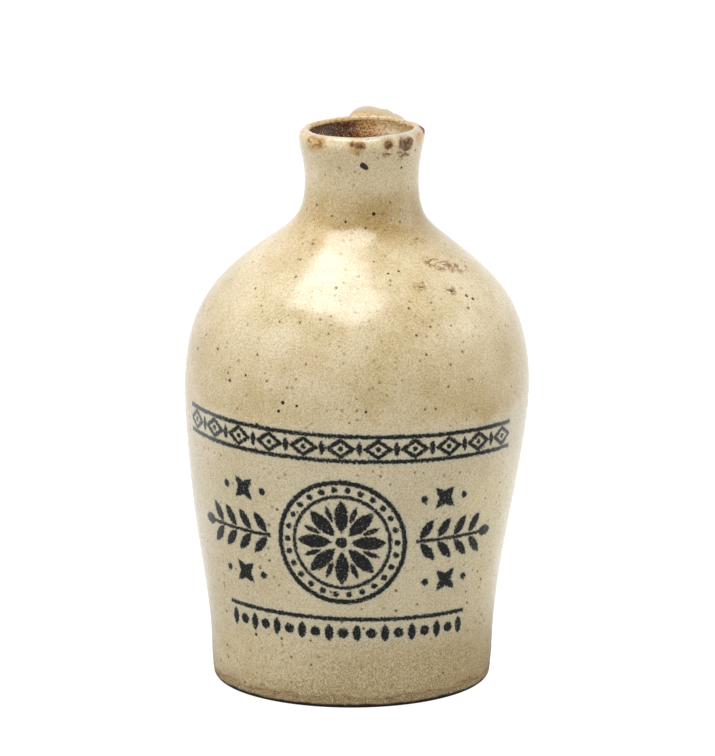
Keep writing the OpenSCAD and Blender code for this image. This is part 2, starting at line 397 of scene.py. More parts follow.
def lathe(name, outline, segments, closed):
    """A solid of revolution: a ring of corners is laid on the outline and spun round Z."""
    deselect()
    bpy.ops.mesh.primitive_circle_add(vertices=len(outline), radius=MM)
    obj = take(name)
    for vertex, point in zip(obj.data.vertices, outline):
        vertex.co = (point.x, 0, point.y)
    if not closed:
        ends = {0, len(outline) - 1}
        for vertex in obj.data.vertices:
            vertex.select = False
        for edge in obj.data.edges:
            edge.select = set(edge.vertices) == ends
        edit(obj, "EDGE")
        bpy.ops.mesh.delete(type="EDGE")
    edit(obj, "VERT")
    bpy.ops.mesh.select_all(action="SELECT")
    bpy.ops.mesh.spin(steps=segments, angle=math.tau, center=(0, 0, 0), axis=(0, 0, 1))
    weld(obj)
    return obj


def edit(obj, kind):
    """Opens a mesh for editing in vertex, edge or face mode."""
    bpy.context.view_layer.objects.active = obj
    if obj.mode != "EDIT":
        bpy.ops.object.mode_set(mode="EDIT")
    bpy.ops.mesh.select_mode(type=kind)


def weld(obj):
    """Merges doubled corners, turns every face outwards and closes the edit."""
    edit(obj, "VERT")
    bpy.ops.mesh.select_all(action="SELECT")
    bpy.ops.mesh.remove_doubles(threshold=WELD)
    bpy.ops.mesh.select_all(action="SELECT")
    bpy.ops.mesh.normals_make_consistent(inside=False)
    bpy.ops.object.mode_set(mode="OBJECT")


def settle(obj, move, sharp=50):
    """Moves every corner as the function says and shades the piece smooth."""
    for vertex in obj.data.vertices:
        vertex.co = move(vertex.co.copy())
    obj.data.update()
    deselect()
    obj.select_set(True)
    bpy.context.view_layer.objects.active = obj
    bpy.ops.object.shade_smooth_by_angle(angle=math.radians(sharp))


def hand_over(obj, finish, slot, *nodes):
    """Gives a piece its finish and its place in the frame."""
    obj.data.materials.clear()
    obj.data.materials.append(finish)
    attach(obj, "root")
    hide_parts(*nodes)


class Value:
    """One output of a shader node. Arithmetic on it adds the Math nodes that it needs."""

    def __init__(self, sheet, socket):
        self.sheet = sheet
        self.socket = socket

    def math(self, operation, *others):
        """The result of a Math node on this value and others."""
        return self.sheet.node("ShaderNodeMath", {"operation": operation}, dict(enumerate((self, *others))))

    def __add__(self, other):
        return self.math("ADD", other)

    def __sub__(self, other):
        return self.math("SUBTRACT", other)

    def __rsub__(self, other):
        return self.sheet.node("ShaderNodeMath", {"operation": "SUBTRACT"}, {0: other, 1: self})

    def __mul__(self, other):
        return self.math("MULTIPLY", other)

    def __truediv__(self, other):
        return self.math("DIVIDE", other)

    def __neg__(self):
        return self.math("MULTIPLY", -1)

    def __abs__(self):
        return self.math("ABSOLUTE")

    __radd__ = __add__
    __rmul__ = __mul__

    def outputs(self, *names):
        """The named outputs of this value's node, or all of them in order."""
        made = self.socket.node.outputs
        return [Value(self.sheet, made[name]) for name in names or range(len(made))]

    def least(self, other):
        return self.math("MINIMUM", other)

    def most(self, other):
        return self.math("MAXIMUM", other)

    def root(self):
        return self.math("SQRT")

    def rise(self, low, high):
        """0 at low, 1 at high, and a smooth rise between them. low may be the larger."""
        sockets = {"Value": self, "From Min": min(low, high), "From Max": max(low, high)}
        if low > high:
            sockets |= {"To Min": 1, "To Max": 0}
        return self.sheet.node("ShaderNodeMapRange", {"interpolation_type": "SMOOTHSTEP"}, sockets)


class Sheet:
    """The node tree of a material or world, and the one method that adds a node to it."""

    def __init__(self, owner):
        self.owner = owner
        owner.use_nodes = True
        self.nodes = owner.node_tree.nodes
        self.links = owner.node_tree.links
        self.nodes.clear()

    def node(self, kind, settings=None, sockets=None, out=0):
        """Adds a node: its settings first, then the values or links of its sockets. Returns one output."""
        made = self.nodes.new(kind)
        for key, value in (settings or {}).items():
            setattr(made, key, value)
        for key, value in (sockets or {}).items():
            socket = made.inputs[key]
            if isinstance(value, Value):
                self.links.new(value.socket, socket)
            else:
                socket.default_value = value
        return Value(self, made.outputs[out]) if made.outputs else None

    def scale(self, vector, by):
        """A vector times a number."""
        return self.node("ShaderNodeVectorMath", {"operation": "SCALE"}, {0: vector, "Scale": by})

    def noise(self, point, size, detail=2.0, rough=0.5):
        """Cloudy noise from 0 to 1, with blotches of a size in millimetres."""
        sockets = {"Vector": point, "Scale": 1 / size, "Detail": detail, "Roughness": rough}
        return self.node("ShaderNodeTexNoise", {}, sockets)

    def mix(self, share, low, high):
        """One colour laid over another."""
        sockets = {0: share, 6: self.colour(low), 7: self.colour(high)}
        return self.node("ShaderNodeMix", {"data_type": "RGBA"}, sockets, 2)

    def tint(self, share, base, by):
        """A colour multiplied by another, as a stain does."""
        sockets = {0: share, 6: self.colour(base), 7: self.colour(by)}
        return self.node("ShaderNodeMix", {"data_type": "RGBA", "blend_type": "MULTIPLY"}, sockets, 2)

    @staticmethod
    def colour(value):
        """A colour as its socket takes it."""
        return value if isinstance(value, Value) else (*value, 1.0)

    def vector(self, operation, *values, out=0):
        """The result of a Vector Math node."""
        return self.node("ShaderNodeVectorMath", {"operation": operation}, dict(enumerate(values)), out)

    def surface(self, sockets, bump=None, strength=0.0, depth=0.0):
        """The shader and the output. A bump of height 1 stands out by depth, in metres."""
        if bump is not None:
            sockets = dict(sockets)
            heights = {"Strength": strength, "Distance": depth, "Height": bump}
            sockets["Normal"] = self.node("ShaderNodeBump", {}, heights)
        shader = self.node("ShaderNodeBsdfPrincipled", {}, sockets)
        self.node("ShaderNodeOutputMaterial", {}, {"Surface": shader})
        return self.owner


class Place:
    """Where a point of the jug lies, in millimetres and radians, for the shaders to read."""

    def __init__(self, sheet):
        coords = sheet.node("ShaderNodeTexCoord", {}, {}, "Object")
        self.point = sheet.scale(coords, 1 / MM)
        self.x, self.y, self.z = sheet.node("ShaderNodeSeparateXYZ", {}, {0: self.point}).outputs()
        self.angle = self.x.math("ARCTAN2", -self.y)


# The printed ornament, in millimetres on the jug's front and degrees to the right of straight ahead
PRINT_MIDDLE = 3.5
PRINT_TILT = 0.028
INK_WANDER = 0.26
INK_WANDER_RATE = 2.6
INK_SOFT = 0.15
INK_GRAIN = 0.6
HALO_REACH = 0.75
TOP_BORDER = 43.3
MEDALLION = 27.8
BOTTOM_BORDER = 12.6
TOP_PITCH = 5.9
BOTTOM_PITCH = 4.4
SPRIG_START = 11.8
SPRIG_LENGTH = 12.6
# Leaves and lozenges are given as half their length and half their width, dots and beads as their radius,
# and rules, stems and rings as half their width
RULE = 0.36
BORDER_HALF = 2.0
LOZENGE = (1.95, 1.35)
LOZENGE_DOT = 0.46
BORDER_LEAF = (1.2, 0.52)
PETALS = 8
PETAL = (2.8, 1.12)
PETAL_MIDDLE = 4.3
SLIM_PETAL = (1.5, 0.46)
SLIM_MIDDLE = 5.0
EYE = 0.95
BEADS = 26
BEAD = 0.52
BEAD_MIDDLE = 8.75
RINGS = ((9.95, 0.42), (7.6, 0.32))
STEM = 0.32
SPRIG_LEAF = (2.0, 0.80)
SPRIG_PITCH = 3.1
SPRIG_FIRST = 1.9
SPRIG_SPREAD = 1.85
SPRIG_TURN = 52
BUD = (1.6, 0.9)
BUD_MIDDLE = 1.2
FLOWER = (2.4, 0.864)
FLOWER_OUT = 5.2
FLOWER_UP = 7.0
FLOWER_DOT = 0.6
FLOWER_DOT_OUT = 3.7
DROP = 0.86
DROP_LEAF = (1.5, 0.7)
DROP_RULE = 2.35


def lozenge(x, y, wide, high):
    """Distance outside a lozenge of those half widths."""
    slant = wide * high / math.hypot(wide, high)
    return (abs(x) / wide + abs(y) / high - 1) * slant


def dot(x, y, radius):
    """Distance outside a round dot."""
    return (x * x + y * y).root() - radius


def bar(y, middle, half):
    """Distance outside a long bar."""
    return abs(y - middle) - half


def outline_of(distance, half):
    """A shape's own outline as a band of that half width."""
    return abs(distance) - half


def leaf(x, y, long, wide):
    """Distance outside a leaf with two pointed ends."""
    bend = (long * long - wide * wide) / (2 * wide)
    return dot(x, abs(y) + bend, bend + wide)


def turned(x, y, degrees):
    """Coordinates turned about their origin."""
    c, s = math.cos(math.radians(degrees)), math.sin(math.radians(degrees))
    return x * c + y * s, y * c - x * s


def cell(across, pitch):
    """Distance from the middle of the nearest of a row's cells."""
    return (across / pitch + 0.5).math("FRACT") * pitch - pitch / 2


def wedge(x, y, count, half_step=False):
    """Coordinates along and beside the nearest of so many spokes."""
    step = math.tau / count
    angle = y.math("ARCTAN2", x) + (step / 2 if half_step else 0)
    beside = cell(angle, step)
    away = (x * x + y * y).root()
    return away * beside.math("COSINE"), away * beside.math("SINE")


def top_border(x, y):
    """Open lozenges with a dot inside, small leaves between them, and a rule above and below."""
    here = cell(x, TOP_PITCH)
    there = cell(x + TOP_PITCH / 2, TOP_PITCH)
    chain = outline_of(lozenge(here, y, *LOZENGE), RULE).least(dot(here, y, LOZENGE_DOT))
    return chain.least(leaf(y, there, *BORDER_LEAF)).least(outline_of(bar(y, 0, BORDER_HALF), RULE))


def medallion(x, y):
    """A rosette of broad and slim petals in a ring of beads."""
    along, beside = wedge(x, y, PETALS)
    petals = leaf(along - PETAL_MIDDLE, beside, *PETAL)
    along, beside = wedge(x, y, PETALS, True)
    petals = petals.least(leaf(along - SLIM_MIDDLE, beside, *SLIM_PETAL))
    along, beside = wedge(x, y, BEADS)
    beads = dot(along - BEAD_MIDDLE, beside, BEAD)
    away = (x * x + y * y).root()
    outer, inner = (outline_of(away - radius, half) for radius, half in RINGS)
    return petals.least(beads).least(outer.least(inner)).least(away - EYE)


def sprig(x, y):
    """A stem with pairs of leaves and a bud, beside the medallion on both sides."""
    out = abs(x) - SPRIG_START
    stem = bar(y, 0, STEM).most(abs(out - SPRIG_LENGTH / 2) - SPRIG_LENGTH / 2)
    pair = cell(out - SPRIG_FIRST, SPRIG_PITCH)
    leaves = leaf(*turned(pair, abs(y) - SPRIG_SPREAD, SPRIG_TURN), *SPRIG_LEAF)
    leaves = leaves.most(0.35 - out).most(out - SPRIG_LENGTH - 0.1)
    return stem.least(leaves).least(leaf(out - SPRIG_LENGTH - BUD_MIDDLE, y, *BUD))


def scatter(x, y):
    """Small flowers of four leaves above and below each sprig, with a dot to each side of them."""
    out = abs(x) - SPRIG_START - FLOWER_OUT
    up = abs(y) - FLOWER_UP
    dots = dot(abs(out) - FLOWER_DOT_OUT, up, FLOWER_DOT)
    cross = leaf(*turned(out, up, 45), *FLOWER).least(leaf(*turned(out, up, 135), *FLOWER))
    return cross.least(dots)


def bottom_border(x, y):
    """Dots and upright leaves under a rule."""
    drops = dot(cell(x, BOTTOM_PITCH), y, DROP)
    drops = drops.least(leaf(y, cell(x + BOTTOM_PITCH / 2, BOTTOM_PITCH), *DROP_LEAF))
    return drops.least(bar(y, DROP_RULE, RULE))


# Motif, height, reach to each side and half height
PRINT_PARTS = (
    (top_border, TOP_BORDER, 5.4 * TOP_PITCH, 2.4),
    (medallion, MEDALLION, 10.6, 10.4),
    (sprig, MEDALLION, 28, 4.2),
    (scatter, MEDALLION, 24, 10.0),
    (bottom_border, BOTTOM_BORDER, 4.77 * BOTTOM_PITCH, 2.7),
)


def printed(sheet, place):
    """Distance outside the nearest inked stroke, in millimetres."""
    sockets = {"Vector": place.point, "Scale": INK_WANDER_RATE, "Detail": 2.0}
    wander = sheet.node("ShaderNodeTexNoise", {}, sockets, 1)
    across_shift, up_shift = sheet.node("ShaderNodeSeparateXYZ", {}, {0: wander}).outputs("X", "Y")
    radius = (place.x * place.x + place.y * place.y).root()
    angle = place.angle - math.radians(PRINT_MIDDLE)
    across = angle * radius + (across_shift - 0.5) * (2 * INK_WANDER)
    level = place.z + across * PRINT_TILT + (up_shift - 0.5) * (2 * INK_WANDER)
    nearest = None
    for motif, height, reach, half in PRINT_PARTS:
        up = level - height
        distance = motif(across, up).most(abs(across) - reach).most(abs(up) - half)
        nearest = distance if nearest is None else nearest.least(distance)
    return nearest


# Marks of iron that the eye finds first: degrees to the right, height and radius in millimetres
IRON_MARKS = (
    (10.2, 84.65, 0.50), (11.8, 84.45, 0.46), (13.2, 84.2, 0.34), (51, 83.7, 0.2), (20.7, 76.8, 0.30),
    (-5.3, 75.6, 0.22), (-40.7, 77.6, 0.2), (-20, 76.3, 0.18), (-16, 50.1, 0.32), (-11, 49.8, 0.24),
    (-17.4, 48.7, 0.27), (11.8, 49.2, 0.22), (54, 65.6, 0.24), (61, 64.6, 0.30), (63.5, 64.0, 0.30),
    (-32, 10.8, 0.26), (-38, 52.2, 0.28), (-31, 53.5, 0.2), (25, 68.8, 0.2), (31, 69.0, 0.2),
    (18, 70.4, 0.15),
)
RUST_MARKS = (
    (5, 88.0, 0.5), (9, 87.9, 0.55), (0, 88.2, 0.4), (34, 87.7, 0.68), (49, 87.6, 0.8), (54, 87.3, 1.0),
    (59, 87.7, 0.8), (96, 88.4, 1.1),
)
SCUFF_MARKS = (
    (48, 85.9, 0.8), (55, 86.0, 0.8), (33, 86.4, 0.7), (5, 86.9, 0.4), (53, 69.6, 1.0), (58, 69.1, 1.4),
    (64, 68.7, 1.2), (70, 68.1, 1.1), (75, 67.5, 0.6), (39, 66.7, 0.9), (54, 65.7, 0.9), (56, 72.3, 0.7),
    (-27, 72.4, 0.6), (-47, 88.1, 0.8), (-40, 87.9, 0.8), (-33, 88.1, 0.7),
)
ORANGE_MARKS = (
    (-43, 87.9, 1.5), (-34, 88.1, 1.2), (4, 88.3, 1.4), (34, 88.1, 1.0), (52, 88.1, 1.5), (75, 88.5, 1.3),
)
FLUSH_MARKS = ((54, 69.9, 1.3), (60, 69.5, 1.5), (67, 68.6, 1.2), (-25, 72.6, 1.4), (37, 66.8, 0.9))

# Zones of the glaze, in millimetres. Each border is where it starts, where it is full and how far it wanders
BAND = ((49, 52, 7), (64, 57, 6))
FIELD = ((49.5, 46.5, 4), (8, 16, 6))
# Painted shade on the neck, darker and tan where its root turns from the light, and sandier on the right of
# the root
NECK_SHADE = ((71, 77, 2), (83.5, 78, 4))
ROOT_SHADE_RIGHT = (-6, 4, 6)
UNDER_LIP = (80.5, 83.5, 3)
# Painted shade, a little warm, on the right of the upper belly
SHADE_RIGHT_HEIGHT = (42, 49, 4)
SHADE_RIGHT_START = (10, 19)
SHADE_RIGHT_END = (27, 24)
# Painted shade on the far left of the shoulder
SHADE_LEFT = (-13, -18, 4)
SHADE_LEFT_HEIGHT = (53, 57, 4)
# Painted light along the right edge of the lower belly
LIT_RIGHT = (19, 23, 2)
LIT_RIGHT_HEIGHT = (44, 36, 4)
# The sandy foot of the wall darkens it towards the bottom and reaches less high on the left, which is
# painted light there, and the strap's tone starts behind the shoulder
LOW_HEIGHTS = (20, 7)
LEFT_LIGHT_SLANT = 0.32
SHOULDER = 73
SHOULDER_SLANT = 1.1
STRAP_START = (11.2, 13.2)
# Where wear and stains set in, and the painted highlight on the front of the lip's crest and the painted
# shadow with some grime under the foot: heights, or places from front to back
BACK_RIM_HEIGHTS = (86.8, 88.6)
BACK_RIM_START = (-4, 3)
CREST_HIGHLIGHT_HEIGHTS = (88.55, 88.85)
CREST_HIGHLIGHT_FRONT = (2, -3)
FOOT_STAIN_HEIGHTS = (4.6, 2.4)
FOOT_RUST_HEIGHTS = (4.5, 3.2)
SHADE_AND_GRIME_HEIGHTS = (0.92, 0.48)
# The liner from left to right, from painted shade through brown to painted lit tan, and down from the lip,
# where painted shade dims the tan
LINER_SHADE_TO_BROWN = (-0.5, 5)
LINER_LIT_TAN = (2.5, 8.5)
LINER_SHADE_HEIGHTS = (86.6, 85.2)
LINER_LIP_HEIGHTS = (88.2, 89.3)
# Stains, painted shade and painted light, as what they multiply a colour by, and tones that are laid over
# one
NECK_SHADE_TINT = (0.94, 0.87, 0.75)
SHADE_RIGHT_TINT = (0.92, 0.87, 0.75)
SHADE_LEFT_TINT = (0.89, 0.86, 0.80)
LIT_RIGHT_TINT = (1.12, 1.12, 1.06)
STRAP_STAIN = (0.90, 0.77, 0.44)
GRAIN_STAIN = (0.60, 0.53, 0.42)
SAND_STAIN = (0.72, 0.62, 0.48)
FLUSH_STAIN = (0.72, 0.56, 0.36)
PALE_GRAIN = (0.86, 0.80, 0.68)
CLAY_STAIN = (0.58, 0.50, 0.40)
PALE_CLAY = (0.80, 0.72, 0.58)
SLIP_STAIN = (0.30, 0.21, 0.15)
SLIP_LIP_STAIN = (0.55, 0.42, 0.28)
LIGHT_SLIP = (0.66, 0.31, 0.05)
SLIP_SAND = (0.62, 0.45, 0.27)
# Scattered specks: spacing, largest radius, share of the places that hold one, and softness of the edge
FRECKLES = (1.15, 0.28, 0.5, 0.12)
SMALL_IRON = (1.65, 0.24, 0.65, 0.09)
LARGE_IRON = (3.8, 0.38, 0.35, 0.05)
SMALL_MELT = (1.65, 0.40, 0.55, 0.2)
LARGE_MELT = (3.8, 0.70, 0.35, 0.3)
CLAY_SPECKS = (2.2, 0.4, 0.5, 0.05)


def marks(sheet, place, outline, table, soften, wobble):
    """1 inside the nearest listed mark, with an uneven edge, and 0 away from them."""
    nearest = None
    for degrees, height, radius in table:
        spot = outline.thrown(outline.on_wall(degrees, height)) / MM
        away = sheet.vector("DISTANCE", place.point, spot, out=1)
        edge = away - radius
        nearest = edge if nearest is None else nearest.least(edge)
    return (nearest + wobble).rise(soften, -soften)


def specks(sheet, point, spacing, largest, share, soft):
    """Scattered specks: one in each cell, with a size by chance, on a share of the cells."""
    sockets = {"Vector": point, "Scale": 1 / spacing}
    away, colour = sheet.node("ShaderNodeTexVoronoi", {}, sockets).outputs("Distance", "Color")
    chance = sheet.node("ShaderNodeSeparateColor", {}, {0: colour})
    radius = chance.rise(1 - share, 1) * (largest / spacing)
    return (away - radius).rise(soft / spacing, -soft / spacing)


class Grains:
    """The glaze's noises, from clouds down to grains. Their blotches are sized in millimetres."""

    def __init__(self, sheet, point):
        self.cloud = sheet.noise(point, 13, 4, 0.55)
        self.patch = sheet.noise(point, 4.5, 3, 0.6)
        self.sand = sheet.noise(point, 0.6, 3, 0.65)
        self.grain = sheet.noise(point, 0.26, 3, 0.6)
        self.streaks = sheet.noise(sheet.vector("MULTIPLY", point, (0.6, 0.6, 1.7)), 0.8, 4, 0.7)
        self.edge = (sheet.noise(point, 0.6, 3, 0.6) - 0.5) * 1.5


def layered(colour, *layers):
    """A colour with others laid over it, or multiplied onto it, one after the other."""
    for lay, share, tone in layers:
        colour = lay(share, colour, tone)
    return colour


def glaze_tones(sheet, place, grains, look):
    """The glaze's broad tones, with painted shade on the neck, the upper belly's right and the shoulder's
    far left, and painted light on the right edge and the lower left, and how far a point lies low on the
    wall and on the strap.
    """
    mix, tint = sheet.mix, sheet.tint

    def past(axis, start, full, wander):
        """0 before a border starts and 1 where it is full."""
        return (axis + grains.patch * wander).rise(start, full)

    def inside(axis, borders):
        """1 between two borders."""
        return past(axis, *borders[0]) * past(axis, *borders[1])

    x, y, z = place.x, place.y, place.z
    thin = (grains.cloud * 0.6 + grains.patch * 0.4).rise(0.40, 0.62)
    band = inside(z, BAND)
    field = inside(z, FIELD)
    neck = inside(z, NECK_SHADE)
    root = neck * past(x, *ROOT_SHADE_RIGHT)
    # Sandy glaze, darker towards the bottom, reaching less high on the left as painted light
    low = (z + grains.patch * 8 - (x * LEFT_LIGHT_SLANT).least(0)).rise(*LOW_HEIGHTS)
    # Painted shade on the right of the upper belly
    shade_right = x.rise(*SHADE_RIGHT_START) * x.rise(*SHADE_RIGHT_END) * past(z, *SHADE_RIGHT_HEIGHT) * band
    # Painted shade on the far left of the shoulder
    shade_left = past(x, *SHADE_LEFT) * past(z, *SHADE_LEFT_HEIGHT)
    # Painted light along the right edge of the lower belly
    lit_right = past(x, *LIT_RIGHT) * past(z, *LIT_RIGHT_HEIGHT) * (1 - low)
    strap = (y + (z - SHOULDER).least(0) * SHOULDER_SLANT).rise(*STRAP_START)
    colour = layered(
        look.pale,
        (mix, thin * 0.75, look.buff),
        (mix, band * 0.30, look.buff),
        (mix, field * 0.55, look.cool),
        # Painted shade on the neck, and darker still on the right of its root
        (mix, neck * 0.45, look.buff),
        (mix, root * 0.85, look.sandy),
        # The sandy glaze low on the wall, kept lower on the left as painted light
        (mix, low * 0.65, look.sandy),
        # Painted shade on the neck
        (tint, neck, NECK_SHADE_TINT),
        (mix, past(z, *UNDER_LIP) * 0.6, look.pale),
        # Painted shade on the right of the upper belly, a little warm
        (tint, shade_right, SHADE_RIGHT_TINT),
        # Painted shade on the far left of the shoulder
        (tint, shade_left, SHADE_LEFT_TINT),
        # Painted light along the right edge of the lower belly
        (tint, lit_right, LIT_RIGHT_TINT),
        (mix, strap * 0.85, look.sandy),
    )
    return colour, low, strap


def glaze_finish(outline, look):
    """The outer glaze: pale and sandy, with clouds, iron specks, worn rust on the lip, the print, painted
    shade and light, and a painted highlight on the lip's crest.
    """
    sheet = Sheet(bpy.data.materials.new(GLAZE_NAME))
    place = Place(sheet)
    grains = Grains(sheet, place.point)
    patch, sand, grain, edge = grains.patch, grains.sand, grains.grain, grains.edge
    mix, tint = sheet.mix, sheet.tint

    def marked(table, soften, wobble):
        """Where the marks of a table lie."""
        return marks(sheet, place, outline, table, soften, wobble)

    colour, low, strap = glaze_tones(sheet, place, grains, look)
    sandy = 0.62 + low * 0.43 + strap * 0.1
    wander = sheet.node("ShaderNodeTexNoise", {}, {"Vector": place.point, "Scale": 3.0}, 1)
    crooked = sheet.vector("ADD", place.point, sheet.scale(wander, 0.5))
    freckles = specks(sheet, crooked, *FRECKLES)
    colour = layered(
        colour,
        (tint, grain.rise(0.46, 0.66) * sandy, GRAIN_STAIN),
        (mix, grain.rise(0.48, 0.30) * sandy * 0.48, PALE_GRAIN),
        (tint, sand.rise(0.50, 0.68) * sandy * 0.30, SAND_STAIN),
        (tint, strap, STRAP_STAIN),
        (mix, freckles * 0.5, look.freckle),
    )

    orange = marked(ORANGE_MARKS, 0.7, edge)
    flush = marked(FLUSH_MARKS, 0.8, edge * 1.6) * 0.30
    rust = marked(RUST_MARKS, 0.2, edge)
    scuff = marked(SCUFF_MARKS, 0.5, edge * 1.3) * grains.streaks.rise(0.47, 0.53)
    back_rim = place.z.rise(*BACK_RIM_HEIGHTS) * (place.y + patch * 6).rise(*BACK_RIM_START) * (1 - strap)
    # Painted highlight: the front of the lip's crest is painted pale, as a reflection
    crest = place.z.rise(*CREST_HIGHLIGHT_HEIGHTS) * place.y.rise(*CREST_HIGHLIGHT_FRONT)
    foot_stain = (place.z + patch * 3.4).rise(*FOOT_STAIN_HEIGHTS)
    foot_rust = (place.z + patch * 4).rise(*FOOT_RUST_HEIGHTS) * grains.streaks.rise(0.48, 0.54)
    colour = layered(
        colour,
        (mix, (orange * 0.8).most(back_rim * 0.55).most(flush), look.orange),
        (tint, orange.most(back_rim) * sand.rise(0.48, 0.60), FLUSH_STAIN),
        (mix, crest * 0.6, look.crest),
        (mix, rust * 0.85, look.rust),
        (mix, rust * sand.rise(0.40, 0.50) * 0.85, look.dark_rust),
        (mix, scuff * 0.9, look.ochre),
        (mix, foot_stain * 0.45, look.stain),
        (mix, foot_rust * 0.75, look.rust),
    )

    small = specks(sheet, crooked, *SMALL_IRON) * 0.85
    large = specks(sheet, crooked, *LARGE_IRON)
    iron = small.most(large).most(marked(IRON_MARKS, 0.06, edge * 0.12))
    melt = specks(sheet, crooked, *LARGE_MELT).most(specks(sheet, crooked, *SMALL_MELT))
    ink_away = printed(sheet, place)
    ink = (ink_away + (0.5 - grain) * INK_GRAIN).rise(INK_SOFT, -INK_SOFT)
    colour = layered(
        colour,
        (mix, melt * 0.30, look.orange),
        (mix, ink_away.rise(HALO_REACH, 0.1) * 0.45, look.halo),
        (mix, ink * (1 - grain.rise(0.42, 0.28) * 0.45), look.ink),
        (mix, iron * 0.96, look.iron),
    )
    bump = grain * 0.5 + sand * 0.5 + patch * 0.5 - rust * 0.9 - iron * 0.5 - freckles * 0.2
    rough = 0.13 + grain * 0.12 + rust * 0.35 + low * 0.15
    sockets = {"Base Color": colour, "Roughness": rough, "Specular IOR Level": 0.66}
    return sheet.surface(sockets, bump, 0.4, 0.06 * MM)


def clay_finish(look):
    """Bare fired clay: matt, sandy and stained, with painted shadow and some grime on the foot's rounded
    edge.
    """
    sheet = Sheet(bpy.data.materials.new("fired_clay"))
    place = Place(sheet)
    grain = sheet.noise(place.point, 0.26, 3, 0.6)
    stain = sheet.noise(place.point, 3.5, 4, 0.6)
    # Painted shadow with some grime: the foot's rounded edge turns almost black where it meets the table
    shade_and_grime = (place.z + (stain - 0.5) * 0.9).rise(*SHADE_AND_GRIME_HEIGHTS) * place.z.rise(0.0, 0.04)
    colour = layered(
        look.clay,
        (sheet.mix, stain.rise(0.52, 0.64) * 0.75, look.stain),
        (sheet.tint, grain.rise(0.44, 0.62) * 0.8, CLAY_STAIN),
        (sheet.mix, grain.rise(0.46, 0.32) * 0.4, PALE_CLAY),
        (sheet.mix, shade_and_grime * 0.97, look.iron),
        (sheet.mix, specks(sheet, place.point, *CLAY_SPECKS), look.iron),
    )
    return sheet.surface({"Base Color": colour, "Roughness": 0.85}, grain, 0.8, 0.15 * MM)


def slip_finish(look):
    """The brown liner: a thin gloss slip with sand showing through, its own brown darkened by painted shade
    on the left and deeper down, and lightened to tan by painted light on the right.
    """
    sheet = Sheet(bpy.data.materials.new("brown_slip"))
    place = Place(sheet)
    grain = sheet.noise(place.point, 0.28, 3, 0.6)
    cloud = sheet.noise(place.point, 2.2, 4, 0.65)
    # Painted shade on the left of the inside turns to the slip's brown, then to painted lit tan on the right
    brown = (place.x + cloud * 7).rise(*LINER_SHADE_TO_BROWN)
    lit_tan = (place.x + cloud * 7).rise(*LINER_LIT_TAN)
    # Painted shade deeper in the mouth, which dims the painted lit tan
    low = (place.z + cloud * 1.5).rise(*LINER_SHADE_HEIGHTS)
    near_lip = (place.z + cloud * 1.6 + place.x * 0.12).rise(*LINER_LIP_HEIGHTS)
    colour = layered(
        look.slip,
        (sheet.mix, brown * 0.85, LIGHT_SLIP),
        (sheet.mix, lit_tan * (1 - low * 0.45), look.pale),
        (sheet.tint, grain.rise(0.44, 0.58) * (1 - lit_tan * 0.6), SLIP_STAIN),
        (sheet.mix, grain.rise(0.42, 0.34) * 0.75, SLIP_SAND),
        (sheet.mix, near_lip * 0.6, look.orange),
        (sheet.tint, near_lip * grain.rise(0.46, 0.6), SLIP_LIP_STAIN),
    )
    return sheet.surface({"Base Color": colour, "Roughness": 0.28 + grain * 0.2}, grain, 0.7, 0.10 * MM)


def rolled(name, rings, sides, ring_at):
    """A closed tube: a grid is rolled up ring by ring, its seam is welded and its ends are filled."""
    deselect()
    bpy.ops.mesh.primitive_grid_add(x_subdivisions=sides, y_subdivisions=rings - 1, size=MM)
    obj = take(name)
    for index, vertex in enumerate(obj.data.vertices):
        ring, corner = divmod(index, sides + 1)
        vertex.co = ring_at(ring, corner % sides)
    edit(obj, "VERT")
    bpy.ops.mesh.select_all(action="SELECT")
    bpy.ops.mesh.remove_doubles(threshold=WELD)
    bpy.ops.mesh.select_all(action="DESELECT")
    bpy.ops.mesh.select_non_manifold(extend=False)
    bpy.ops.mesh.fill_holes(sides=0)
    weld(obj)
    return obj


